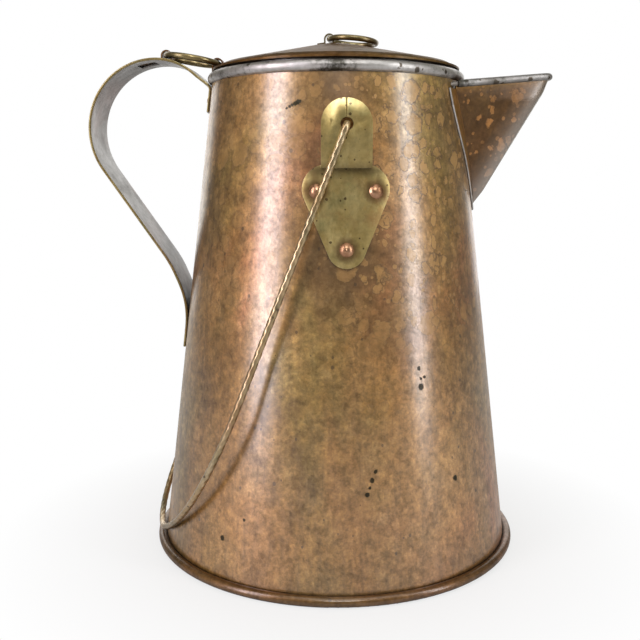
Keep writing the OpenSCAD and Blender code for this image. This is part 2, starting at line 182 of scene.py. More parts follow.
def lean_tab(ear, azimuth):
    """Bends the top of an ear's tab in towards the pot, as it was left by the hammer."""
    a = math.radians(azimuth)
    inward = Vector((-math.cos(a), -math.sin(a), 0))
    for vertex in ear.data.vertices:
        rise = vertex.co.z / MM - TAB_LEAN_Z
        if rise > 0:
            vertex.co += inward * TAB_LEAN * rise * rise * MM
    return ear


def sweep(name, path, section, body, stands_for):
    """A closed bar: section(i) gives (side, up) offsets in mm for point i of the path."""
    sides = len(section(0))
    tangents = [
        (path[min(i + 1, len(path) - 1)] - path[max(i - 1, 0)]).normalized() for i in range(len(path))
    ]
    side = tangents[0].cross(Vector((0, 0, 1))).normalized()
    verts = []
    for i, point in enumerate(path):
        side = (side - side.dot(tangents[i]) * tangents[i]).normalized()
        up = tangents[i].cross(side)
        verts += [point + s * side + u * up for s, u in section(i)]
    faces = [
        (i * sides + k, i * sides + (k + 1) % sides, (i + 1) * sides + (k + 1) % sides, (i + 1) * sides + k)
        for i in range(len(path) - 1)
        for k in range(sides)
    ]
    faces.append(tuple(range(sides)))
    faces.append(tuple((len(path) - 1) * sides + k for k in range(sides)))
    return new_object(name, verts, faces, body, stands_for)


def circle(r, sides):
    return [(r * math.cos(math.tau * k / sides), r * math.sin(math.tau * k / sides)) for k in range(sides)]


def resample(points, step):
    """The same line with points a fixed step apart."""
    out = [points[0].copy()]
    carry = 0.0
    for a, b in zip(points, points[1:]):
        length = (b - a).length
        at = step - carry
        while at <= length:
            out.append(a.lerp(b, at / length))
            at += step
        carry = length - (at - step)
    if (out[-1] - points[-1]).length > step * 0.3:
        out.append(points[-1].copy())
    return out


# ---------------------------------------------------------------- the bail, a square wire with a long twist
def turn_points(start, x, toward, r, degrees, n):
    """Points of a bend of radius r that leaves start along x and turns toward a direction."""
    ex = x.normalized()
    ey = (toward - toward.dot(ex) * ex).normalized()
    return [
        start + r * (math.sin(math.radians(degrees * i / n)) * ex
                     + (1 - math.cos(math.radians(degrees * i / n))) * ey)
        for i in range(1, n + 1)
    ]


def bail_half(x, end, inward, arcs):
    """From the lowest point, off along x, to a hook through the ear's hole at end.

    arcs holds the first bend's radius and angle, and the second bend's radius.
    """
    low = Vector(BAIL_LOW)
    d = end - low
    ex = x.normalized()
    ey = (d - d.dot(ex) * ex).normalized()
    e = Vector((d.dot(ex), d.dot(ey)))
    a = math.radians(arcs[1])
    first_end = arcs[0] * Vector((math.sin(a), 1 - math.cos(a)))
    centre = first_end + arcs[2] * Vector((-math.sin(a), math.cos(a)))
    run = math.sqrt((e - centre).length ** 2 - arcs[2] ** 2)
    heading = math.degrees(math.atan2(e.y - centre.y, e.x - centre.x) + math.atan2(arcs[2], run))
    first = turn_points(low, ex, ey, arcs[0], arcs[1], 16)
    ahead, beside = math.cos(a) * ex + math.sin(a) * ey, math.cos(a) * ey - math.sin(a) * ex
    second = turn_points(first[-1], ahead, beside, arcs[2], heading - arcs[1], 48)
    h = math.radians(heading)
    leg = math.cos(h) * ex + math.sin(h) * ey
    turn = math.degrees(math.acos(leg.dot(inward)))
    corner = end - HOOK_R * math.tan(math.radians(turn / 2)) * leg
    reach = Vector((end.x, end.y)).length - HOOK_OUT
    behind = end + (reach - HOOK_R) * inward
    down = (leg.dot(inward) * inward - leg).normalized()
    hook = turn_points(behind, inward, down, HOOK_R, 90, 10)
    return (first + second + [corner] + turn_points(corner, leg, inward, HOOK_R, turn, 12) + [behind]
            + hook + [hook[-1] + HOOK_LEN * down])


def make_bail():
    """The twisted wire from the near hook, under the strap, to the far hook."""
    azimuth = math.radians(EAR_TURN - 90)
    out = Vector((math.cos(azimuth), math.sin(azimuth), 0))
    low_turn = math.radians(BAIL_LOW_TURN)
    along = Vector((math.sin(low_turn), -math.cos(low_turn), 0))
    up = Vector((0, 0, EAR_Z))
    near = bail_half(along, LEG_OUT_NEAR * out + up, -out, NEAR_ARCS)
    far = bail_half(-along, -LEG_OUT_FAR * out + up, out, FAR_ARCS)
    path = resample(list(reversed(near)) + [Vector(BAIL_LOW)] + far, BAIL_STEP)

    def section(i):
        points = []
        for k in range(BAIL_SIDES):
            a = math.tau * k / BAIL_SIDES
            flat = 0.5 - 0.5 * math.cos(4 * a)
            r = BAIL_R * TWIST_FIT * (1 - TWIST_DEPTH * flat)
            b = a + math.tau * i * BAIL_STEP / TWIST_PITCH
            points.append((r * math.cos(b), r * math.sin(b)))
        return points

    return sweep("bail_twisted", path, section, "bail", ["bail"])


# ---------------------------------------------------------------- the strap handle
def line_point(origin, heading, distance):
    return origin + distance * polar(1, heading)


def meet(p, a, q, b):
    """Where the line through p at angle a meets the line through q at angle b."""
    u, v = polar(1, a), polar(1, b)
    w = q - p
    t = (w.x * v.y - w.y * v.x) / (u.x * v.y - u.y * v.x)
    return p + t * u


def fillet(corner, a_in, a_out, r, n):
    """Points of a bend of radius r from one heading to another; its sharp corner is given."""
    turn = a_out - a_in
    reach = r * math.tan(math.radians(abs(turn) / 2))
    side = 1 if turn > 0 else -1
    start = line_point(corner, a_in, -reach)
    centre = line_point(start, a_in + 90 * side, r)
    return [centre + polar(r, a_in - 90 * side + turn * i / n) for i in range(n + 1)]


def strap_line():
    """The strap's middle line in X and Z, from its upper foot to its lower foot."""
    half = STRAP_T / 2
    lean = math.degrees(LEAN)
    off = (GAP + half + SLACK) / math.cos(LEAN)

    def beside_wall(z):
        return Vector((-(wall_r(z) + off), z))

    crown_c = Vector(LOOP_C) + Vector((0, LOOP_R - CROWN_R))
    neck_start = crown_c + polar(CROWN_R - half, CROWN_A)
    neck_heading = CROWN_A + 90
    up_heading = 90 - lean
    top_corner = meet(neck_start, neck_heading, beside_wall(200), up_heading)
    points = [beside_wall(STRAP_TOP_Z)]
    points += fillet(top_corner, up_heading, neck_heading, FOOT_BEND_R - half, 10)
    points += [crown_c + polar(CROWN_R - half, a) for a in range(int(CROWN_A), 90, 3)]
    points += [Vector(LOOP_C) + polar(LOOP_R - half, a) for a in range(90, int(STRAIGHT_A) + 1, 2)]
    leave = Vector(LOOP_C) + polar(LOOP_R - half, STRAIGHT_A)
    low_corner = meet(leave, STRAIGHT_A + 90, beside_wall(100), 270 - lean)
    points += fillet(low_corner, STRAIGHT_A + 90, 270 - lean, LOWER_BEND_R + half, 24)
    points.append(beside_wall(STRAP_END_Z))
    return points


def make_strap():
    """The strap as one bent sheet with a slot. Its feet curve round the wall."""
    line = resample(strap_line(), 1.0)
    across = 26
    half_w = STRAP_W / 2 - SLACK
    verts = []
    for p in line:
        distance = -p.x - wall_r(p.y)
        follow = max(0.0, min(1.0, 1 - (distance - STRAP_TOUCH) / STRAP_FOLLOW))
        follow = follow * follow * (3 - 2 * follow)
        for k in range(across + 1):
            y = -half_w + 2 * half_w * k / across
            bow = wall_r(p.y) - math.sqrt(wall_r(p.y) ** 2 - y * y)
            verts.append((p.x + follow * bow, y, p.y))

    def in_slot(i, k):
        p = line[i]
        y = -half_w + 2 * half_w * (k + 0.5) / across
        return p.y > LOOP_C[1] and SLOT_X[0] <= p.x <= SLOT_X[1] and abs(y) < SLOT_W / 2

    strap = new_object("strap_sheet", verts, grid_faces(len(line), across + 1, in_slot), "pot",
                       ["handle_strap"])
    thicken(strap, STRAP_T - SLACK / 2, 0.35)
    return strap


def thicken(obj, thickness_mm, edge_mm, offset=0.0):
    """Gives a sheet its thickness and rounds its edges. offset 0 grows it both ways, -1 or 1 one way."""
    solid = obj.modifiers.new("sheet", "SOLIDIFY")
    solid.thickness = thickness_mm * MM
    solid.offset = offset
    solid.use_even_offset = True
    round_edges(obj, edge_mm, 50)
    bake_modifiers(obj)
    smooth(obj, 60)


# ---------------------------------------------------------------- the spout, its flange and its rolled edge
EDGE_A = math.atan2(SPOUT_TIP_Z - SPOUT_ROOT_Z, SPOUT_TIP_X - RIM_R)
ROOT_X = math.sqrt(wall_r(SPOUT_ROOT_Z) ** 2 - SPOUT_HALF_W ** 2)
NOSE_X = SPOUT_TIP_X - HEM_R - SPOUT_NOSE_R
SIDE_A = math.atan2(SPOUT_HALF_W, NOSE_X - ROOT_X) - math.asin(
    SPOUT_NOSE_R / math.hypot(NOSE_X - ROOT_X, SPOUT_HALF_W))


def edge_point(x, y):
    """A point of the flat plan, tilted up to the spout's rising edge."""
    out = x - ROOT_X
    return Vector((ROOT_X + out * math.cos(EDGE_A), y, SPOUT_ROOT_Z + out * math.sin(EDGE_A)))


def edge_curve(back_run, n_side, n_nose):
    """The spout's edge from one root round the nose to the other; it starts behind the root by back_run."""
    s = math.degrees(SIDE_A)
    nose = [Vector((NOSE_X, 0)) + polar(SPOUT_NOSE_R, -90 + s + (180 - 2 * s) * i / n_nose)
            for i in range(n_nose + 1)]
    end = nose[-1]
    back = Vector((ROOT_X, SPOUT_HALF_W)) + back_run * Vector((-math.cos(SIDE_A), math.sin(SIDE_A)))
    side = [end.lerp(back, i / n_side) for i in range(1, n_side + 1)]
    flat = [Vector((p.x, -p.y)) for p in reversed(side)] + nose + side
    return [edge_point(p.x, p.y) for p in flat]


def wall_crossing(start, apex, r_extra):
    """The share of the way from start to apex at which the line enters the wall."""
    low, high = 0.0, 1.0
    for _ in range(40):
        mid = (low + high) / 2
        p = start.lerp(apex, mid)
        if math.hypot(p.x, p.y) > wall_r(p.z) + r_extra:
            low = mid
        else:
            high = mid
    return low


def nose_depth(y, r):
    """How far a V with a round nose of radius r has fallen back at a distance y from its middle."""
    s, c = math.sin(SIDE_A), math.cos(SIDE_A)
    if y < r * c:
        return r - math.sqrt(r * r - y * y)
    return r * (1 - s) + (y - r * c) * c / s


def off_the_wall(points, distance):
    return [p for p in points if math.hypot(p.x, p.y) > wall_r(p.z) + distance]


def make_spout():
    """The spout's sheet, from under its rolled edge down to its foot, with its flange and solder."""
    apex = Vector((wall_r(KEEL_FOOT_Z) - 1, 0, KEEL_FOOT_Z))
    curve = off_the_wall(edge_curve(0.0, 26, 22), 0.4)
    rows = 44
    under_edge = Vector((0, 0, 0.4 * HEM_R))
    outward = Vector((SPOUT_TIP_Z - SPOUT_FOOT_Z, 0, -(SPOUT_TIP_X - wall_r(SPOUT_FOOT_Z)))).normalized()
    starts = [p - under_edge for p in curve]
    cut = [wall_crossing(p, apex, GAP + 0.05) for p in starts]

    def on_sheet(p, t):
        """A point of the sheet a share t of the way down to the foot; the keel is fuller than a plain V."""
        fullness = min(1.0, t / 0.10) * min(1.0, (1 - t) / 0.15)
        across = min(1.0, abs(p.y) / SPOUT_HALF_W)
        y, r = abs(p.y) * (1 - t), SPOUT_NOSE_R * (1 - t)
        rounder = nose_depth(y, r) - nose_depth(y, r + KEEL_ROUND * fullness)
        return p.lerp(apex, t) + (KEEL_OUT + rounder) * fullness * (1 - across ** 2) * outward

    verts = [on_sheet(p, t * j / rows) for p, t in zip(starts, cut) for j in range(rows + 1)]
    faces = grid_faces(len(curve), rows + 1)
    sheet = new_object("spout_sheet", verts, faces, "pot", ["spout"])
    thicken(sheet, 0.9 * SHEET, 0.0, offset=inward_offset(sheet))
    foot = [on_sheet(p, t) for p, t in zip(starts, cut)]
    return sheet, make_flange(foot)


def inward_offset(obj):
    """Solidify's offset that keeps the outer face where it is."""
    middle = obj.data.polygons[len(obj.data.polygons) // 2]
    outward = Vector((1, 0, -0.4))
    return -1.0 if middle.normal.dot(outward) > 0 else 1.0


def flange_edge(inner, z):
    """How far out the flange reaches at a height z."""
    if z > FLANGE_BELLY[1]:
        above, below = (FLANGE_HALF_W, SPOUT_ROOT_Z), FLANGE_BELLY
    else:
        above, below = FLANGE_BELLY, FLANGE_POINT
    outer = below[0] + (above[0] - below[0]) * (z - below[1]) / (above[1] - below[1])
    return max(outer, inner + FLANGE_LEAST_W)


def make_flange(foot):
    """The soldered strip that lies on the wall beside the spout, and the solder along its outer edge."""
    columns, rows_up = 7, 8
    lap = 0.3

    def round_wall(side, y, z, out):
        r = wall_r(z) + out
        return Vector((math.sqrt(r * r - y * y), side * y, z))

    faces, verts, beads = [], [], []
    for side in (-1, 1):
        line = sorted((p for p in foot if p.y * side > 0), key=lambda p: p.z)
        last = line[-1]
        to_top = Vector((0, side * (SPOUT_HALF_W - 1.2) - last.y, FLANGE_TOP_Z - last.z))
        line += [Vector((0, last.y, last.z)) + to_top * k / rows_up for k in range(1, rows_up + 1)]
        start = len(verts)
        bead = []
        for inner, z in ((abs(p.y), p.z) for p in line):
            outer = flange_edge(inner, z)
            sag = FLANGE_SAG * (1 - min(1, inner / 6))
            for k in range(columns + 1):
                y = inner - lap + (outer - inner + lap) * k / columns
                verts.append(round_wall(side, y, z - sag * k / columns, GAP + 0.42))
            bead.append(round_wall(side, outer + 0.15, z - sag, 0.35))
        grid = grid_faces(len(line), columns + 1)
        faces += [tuple(start + v for v in (f if side > 0 else f[::-1])) for f in grid]
        beads.append(bead)
    strip = new_object("spout_flange", verts, faces, "pot", ())
    thicken(strip, FLANGE_T, 0.25)
    path = resample(beads[0][::-1] + beads[1], 0.8)
    section = circle(SOLDER_R, 10)
    solder = sweep("spout_solder", path, lambda i: section, "pot", ())
    return strip, solder


def make_hem():
    """The spout's rolled edge, slightly uneven as it was left by the hammer."""
    path = resample(off_the_wall(edge_curve(-0.4, 20, 24), 1.2), 0.6)

    def section(i):
        return circle(HEM_R * (0.985 + 0.012 * math.sin(i * 0.9) * math.sin(i * 0.37)), 28)

    return sweep("spout_rolled_edge", path, section, "pot", ["spout_hem"])


# ---------------------------------------------------------------- procedural materials
class Look:
    """A small builder for a node material on one principled shader."""

    def __init__(self, name, metallic, roughness):
        self.material = bpy.data.materials.new(name)
        self.material.use_nodes = True
        self.tree = self.material.node_tree
        self.tree.nodes.clear()
        self.shader = self.tree.nodes.new("ShaderNodeBsdfPrincipled")
        out = self.tree.nodes.new("ShaderNodeOutputMaterial")
        self.tree.links.new(self.shader.outputs[0], out.inputs[0])
        self.shader.inputs["Metallic"].default_value = metallic
        self.shader.inputs["Roughness"].default_value = roughness
        self.place = self.tree.nodes.new("ShaderNodeTexCoord").outputs["Object"]

    def put(self, socket, value):
        """Links a socket to another one, or gives it a value."""
        if isinstance(value, bpy.types.NodeSocket):
            self.tree.links.new(value, socket)
        elif value is not None:
            socket.default_value = value

    def stretch(self, scale, vector=None, move=(0, 0, 0)):
        """The place scaled and moved, so that a pattern is drawn out, or differs from another."""
        node = self.tree.nodes.new("ShaderNodeMapping")
        self.put(node.inputs["Vector"], vector or self.place)
        node.inputs["Scale"].default_value = scale
        node.inputs["Location"].default_value = move
        return node.outputs[0]

    def noise(self, scale, detail=4.0, rough=0.55, vector=None, warp=0.0, colour=False):
        node = self.tree.nodes.new("ShaderNodeTexNoise")
        self.put(node.inputs["Vector"], vector or self.place)
        node.inputs["Scale"].default_value = scale
        node.inputs["Detail"].default_value = detail
        node.inputs["Roughness"].default_value = rough
        node.inputs["Distortion"].default_value = warp
        return node.outputs["Color" if colour else "Fac"]

    def drift(self, scale, detail, rough, move, squeeze=(1, 1, 1), warp=0.0):
        """A noise of its own, read from a moved place."""
        return self.noise(scale, detail, rough, self.stretch(squeeze, move=move), warp)

    def cells(self, scale, vector=None):
        node = self.tree.nodes.new("ShaderNodeTexVoronoi")
        self.put(node.inputs["Vector"], vector or self.place)
        node.inputs["Scale"].default_value = scale
        return node.outputs["Distance"], node.outputs["Color"]

    def ramp(self, value, *stops):
        """Turns a value into a grey or a colour, by stops of (value, grey or colour)."""
        node = self.tree.nodes.new("ShaderNodeValToRGB")
        self.put(node.inputs[0], value)
        elements = node.color_ramp.elements
        for i, (at, colour) in enumerate(stops):
            element = elements[i] if i < 2 else elements.new(at)
            element.position = at
            grey = isinstance(colour, (int, float))
            element.color = (colour, colour, colour, 1) if grey else (*colour, 1)
        return node.outputs[0]

    def maths(self, operation, a, b=None):
        node = self.tree.nodes.new("ShaderNodeMath")
        node.operation = operation
        self.put(node.inputs[0], a)
        self.put(node.inputs[1], b)
        return node.outputs[0]

    def mix(self, amount, a, b, blend="MIX"):
        node = self.tree.nodes.new("ShaderNodeMix")
        node.data_type = "RGBA"
        node.blend_type = blend
        self.put(node.inputs["Factor"], amount)
        for socket, value in ((node.inputs[6], a), (node.inputs[7], b)):
            self.put(socket, (*value, 1) if isinstance(value, tuple) and len(value) == 3 else value)
        return node.outputs[2]

    def stain(self, base, mask, amount, colour):
        """The base with a colour laid over it where the mask is 1."""
        return self.mix(self.maths("MULTIPLY", mask, amount), base, colour)

    def shade(self, base, value, amount, *stops):
        """The base multiplied by a ramp of a value."""
        return self.mix(amount, base, self.ramp(value, *stops), "MULTIPLY")

    def most(self, *masks):
        """The highest of several masks."""
        total = masks[0]
        for mask in masks[1:]:
            total = self.maths("MAXIMUM", total, mask)
        return total

    def axis(self, letter, vector=None):
        node = self.tree.nodes.new("ShaderNodeSeparateXYZ")
        self.put(node.inputs[0], vector or self.place)
        return node.outputs[letter]

    def shaken(self, scale, amount, vector=None):
        """The place, moved about by a noise, so that cells get uneven outlines."""
        source = vector or self.place
        centred = self.tree.nodes.new("ShaderNodeVectorMath")
        centred.operation = "SUBTRACT"
        self.put(centred.inputs[0], self.noise(scale, 2.0, 0.5, source, colour=True))
        centred.inputs[1].default_value = (0.5, 0.5, 0.5)
        scaled = self.tree.nodes.new("ShaderNodeVectorMath")
        scaled.operation = "SCALE"
        self.put(scaled.inputs[0], centred.outputs[0])
        scaled.inputs["Scale"].default_value = amount
        total = self.tree.nodes.new("ShaderNodeVectorMath")
        total.operation = "ADD"
        self.put(total.inputs[0], source)
        self.put(total.inputs[1], scaled.outputs[0])
        return total.outputs[0]

    def near(self, point_mm, reach_mm, vector=None):
        """1 at a point of the object, 0 from a distance on."""
        node = self.tree.nodes.new("ShaderNodeVectorMath")
        node.operation = "DISTANCE"
        self.put(node.inputs[0], vector or self.place)
        node.inputs[1].default_value = Vector(point_mm) * MM
        share = self.maths("DIVIDE", node.outputs["Value"], reach_mm * MM)
        return self.ramp(share, (0.0, 1.0), (1.0, 0.0))

    def corner_dirt_and_shade(self, distance_mm):
        """1 in narrow corners, 0 on open surfaces. An occlusion mask: it paints shade into corners, together
        with grime there.
        """
        node = self.tree.nodes.new("ShaderNodeAmbientOcclusion")
        node.samples = 6
        node.inputs["Distance"].default_value = distance_mm * MM
        return self.ramp(node.outputs["AO"], (0.25, 1.0), (0.78, 0.0))

    def bump(self, height, distance, strength=1.0, under=None):
        node = self.tree.nodes.new("ShaderNodeBump")
        self.put(node.inputs["Height"], height)
        node.inputs["Distance"].default_value = distance
        node.inputs["Strength"].default_value = strength
        self.put(node.inputs["Normal"], under)
        return node.outputs[0]

    def coat(self, weight, roughness, ior):
        self.put(self.shader.inputs["Coat Weight"], weight)
        self.shader.inputs["Coat Roughness"].default_value = roughness
        self.shader.inputs["Coat IOR"].default_value = ior

    def finish(self, colour, roughness, normal=None, metallic=None):
        self.put(self.shader.inputs["Base Color"], colour)
        self.put(self.shader.inputs["Roughness"], roughness)
        self.put(self.shader.inputs["Metallic"], metallic)
        self.put(self.shader.inputs["Normal"], normal)
        return self.material

    def spots(self, scale, share, size, vector):
        """Round marks in some of the cells: (inside, outline)."""
        distance, colour = self.cells(scale, vector)
        chosen = self.maths("GREATER_THAN", self.axis("X", colour), 1 - share)
        reach = self.maths("MULTIPLY", self.axis("Y", colour), size)
        reach = self.maths("ADD", reach, size * 0.35)
        ratio = self.maths("DIVIDE", distance, reach)
        inside = self.maths("MULTIPLY", self.ramp(ratio, (0.86, 1.0), (1.0, 0.0)), chosen)
        outline = self.maths("MULTIPLY", self.ramp(ratio, (0.78, 0.0), (0.93, 1.0), (1.06, 0.0)), chosen)
        return inside, outline


# Colours of the metals and of what lies on them, as linear red, green and blue
COPPER_TONES = ((0.34, (0.170, 0.080, 0.016)), (0.46, (0.320, 0.172, 0.044)),
                (0.55, (0.420, 0.245, 0.085)), (0.68, (0.520, 0.335, 0.160)))
PEARL_TINTS = ((0.34, (0.86, 1.0, 0.86)), (0.45, (1.0, 1.0, 0.96)),
               (0.55, (1.03, 0.95, 1.0)), (0.66, (1.10, 0.82, 1.12)))
ORANGE_TARNISH = (0.450, 0.225, 0.052)
BROWN_TARNISH = (0.130, 0.070, 0.026)
DARK_TARNISH = (0.050, 0.024, 0.006)
MARK_INSIDE, MARK_OUTLINE = (0.500, 0.285, 0.105), (0.100, 0.050, 0.016)
BROWN_DOT, BLACK_SPECK = (0.090, 0.050, 0.022), (0.022, 0.026, 0.022)
# The second colour here is a painted highlight along the spout's keel
GOLD_BAND, KEEL_HIGHLIGHT = (0.420, 0.260, 0.060), (0.330, 0.285, 0.240)
# Painted shade with grime, for the copper's corners
COPPER_DIRT_AND_SHADE = (0.025, 0.016, 0.009)

BRASS_TONES = ((0.28, (0.175, 0.120, 0.036)), (0.48, (0.330, 0.245, 0.090)), (0.70, (0.470, 0.370, 0.165)))
BRASS_GREEN, BRASS_RED, BRASS_RUBBED = (0.190, 0.195, 0.088), (0.250, 0.115, 0.050), (0.560, 0.460, 0.220)
# The second colour here paints shade and grime in brass corners, and the shadow in the ear's step
BRASS_PIT, BRASS_DIRT_AND_SHADE, RUST = (0.070, 0.045, 0.020), (0.030, 0.020, 0.008), (0.100, 0.046, 0.018)

TIN_TONES = ((0.30, (0.60, 0.57, 0.54)), (0.52, (1.0, 0.97, 0.95)), (0.72, (1.18, 1.15, 1.15)))
TIN_THROUGH = (0.340, 0.205, 0.105)
TIN_SPOT, TIN_SPOT_EDGE, TIN_STAIN = (0.085, 0.070, 0.055), (0.16, 0.12, 0.09), (0.060, 0.056, 0.046)
# Painted shade with grime, for the tin's corners
TIN_DIRT_AND_SHADE = (0.022, 0.017, 0.012)

RIVET_TONES = ((0.30, (0.20, 0.100, 0.050)), (0.55, (0.42, 0.230, 0.135)), (0.75, (0.55, 0.340, 0.225)))
# Painted shade with grime, for the rivets' corners
RIVET_DIRT_AND_SHADE = (0.030, 0.017, 0.010)
IRON_TONES = ((0.3, (0.10, 0.085, 0.07)), (0.55, (0.22, 0.20, 0.18)), (0.8, (0.30, 0.20, 0.12)))

# The film over the copper: its roughness and how strongly it mirrors
FILM_ROUGHNESS, FILM_IOR = 0.26, 2.15

# Black specks and a scratch on the wall: x, y, z and how far each reaches, in mm
SPECKS = [
    (40.0, -62.6, 89.0, 2.3), (39.9, -62.0, 92.6, 1.2), (39.0, -62.1, 97.0, 1.6), (41.4, -61.1, 93.0, 1.2),
    (21.3, -75.4, 55.4, 1.7), (19.7, -76.3, 52.0, 2.0), (18.9, -77.0, 48.9, 1.2), (17.9, -77.6, 46.2, 1.7),
    (55.9, -56.5, 46.8, 2.2), (-45.5, -68.9, 21.3, 2.0), (-35.0, -73.4, 31.8, 1.3),
    (-17.2, -57.5, 205.2, 0.9), (-16.0, -57.8, 205.8, 1.1), (-14.8, -58.0, 206.4, 1.3),
    (-13.6, -58.2, 206.9, 1.8), (-12.6, -58.4, 207.3, 1.8), (-11.6, -58.5, 207.7, 1.1),
]
# Dark places round the ear and under the rim: the point, how far it reaches in mm, and how dark it is
HALOS = [((6, -68, 143), 36, 0.85), ((2, -59, 214), 24, 0.75), ((-6, -62, 190), 20, 0.55),
         ((30, -66, 118), 26, 0.45)]

# The spout's gold band, as its height at the pot's axis and its fade, in metres. GOLD_SCALE spreads the
# height over more of the ramp, which is read in 256 steps.
GOLD_Z, GOLD_FADE, GOLD_SCALE = 0.2106, 0.0022, 2.0
# The plane of the keel, KEEL_X * x - KEEL_Z * z = -KEEL_AT, and the width of the painted highlight strip
# along it, in metres
KEEL_X, KEEL_Z, KEEL_AT, KEEL_FADE = 0.850, 0.528, 0.0313, 0.013
# The painted shadow in the crease of the ear's step, a dark line where the raised tab shades the shield, in
# metres: where it starts, is full, is full to, and ends
STEP_SHADOW = (0.1788, 0.1800, 0.1818, 0.1828)


def copper_ground(k, low, streak, blotch, grain):
    """Bare copper with orange tarnish low down, pearly tints, streaks and a fine mottle."""
    tone = k.mix(0.5, k.noise(15, 5, 0.6, warp=0.6), k.noise(120, 5, 0.7))
    base = k.ramp(tone, *COPPER_TONES)
    patch = k.ramp(k.drift(22, 4, 0.6, (3, 1, 0), squeeze=(1, 1, 0.8)), (0.38, 0.0), (0.60, 1.0))
    orange = k.maths("ADD", k.maths("MULTIPLY", low, 0.60), 0.15)
    base = k.mix(k.maths("MULTIPLY", orange, patch), base, ORANGE_TARNISH)
    base = k.shade(base, k.drift(12, 3, 0.55, (7, 2, 5), squeeze=(1, 1, 0.6), warp=0.8), 0.9, *PEARL_TINTS)
    base = k.shade(base, streak, 0.7, (0.25, 0.60), (0.5, 1.0), (0.8, 1.22))
    base = k.shade(base, blotch, 0.8, (0.36, 0.55), (0.50, 1.0), (0.64, 1.45))
    return k.shade(base, grain, 0.7, (0.32, 0.62), (0.5, 1.0), (0.68, 1.40))


def copper_marks(k, spotty, size):
    """Round marks left by drops, as (inside, outline), stronger up the wall and towards the spout."""
    high = k.ramp(k.axis("Z"), (0.06, 0.12), (0.15, 1.0))
    side = k.ramp(k.axis("X"), (0.0, 0.45), (0.01, 1.0))
    where = k.maths("MULTIPLY", high, side)
    where = k.maths("MULTIPLY", where, k.ramp(k.drift(24, 3, 0.6, (9, 4, 1)), (0.34, 0.35), (0.50, 1.0)))
    where = k.maths("MULTIPLY", where, spotty)
    squeezed = k.stretch((1, 1, 0.85), move=(2, 0, 0))
    big_in, big_edge = k.spots(105, 0.55, size, k.shaken(700, 0.0022, k.shaken(170, 0.0060)))
    mid_in, mid_edge = k.spots(190, 0.58, size, k.shaken(900, 0.0014, k.shaken(300, 0.0030, squeezed)))
    small_in, small_edge = k.spots(420, 0.34, 0.42, k.stretch((1, 1, 1), move=(0, 3, 0)))
    inside = k.most(big_in, mid_in, k.maths("MULTIPLY", small_in, 0.8))
    outline = k.most(big_edge, mid_edge, k.maths("MULTIPLY", small_edge, 0.7))
    worn = k.ramp(k.drift(150, 4, 0.7, (2, 8, 2)), (0.36, 0.45), (0.60, 1.0))
    inside = k.maths("MULTIPLY", k.maths("MULTIPLY", inside, where), worn)
    return inside, k.maths("MULTIPLY", outline, where)


def spout_bands(k):
    """(band, keel): the strip of clean metal under the spout's rolled edge, and a painted highlight along
    its keel.
    """
    rise = k.maths("MULTIPLY", k.axis("X", k.shaken(90, 0.004)), math.tan(EDGE_A))
    height = k.maths("MULTIPLY", k.maths("SUBTRACT", k.axis("Z"), rise), GOLD_SCALE)
    band = k.ramp(height, ((GOLD_Z - GOLD_FADE) * GOLD_SCALE, 0.0), (GOLD_Z * GOLD_SCALE, 1.0))
    across = k.maths("MULTIPLY", k.axis("X"), KEEL_X)
    across = k.maths("SUBTRACT", across, k.maths("MULTIPLY", k.axis("Z"), KEEL_Z))
    across = k.maths("MULTIPLY", k.maths("ADD", across, KEEL_AT + KEEL_FADE), 1 / KEEL_FADE)
    return band, k.ramp(across, (0.10, 0.0), (0.55, 0.30), (1.0, 1.0))


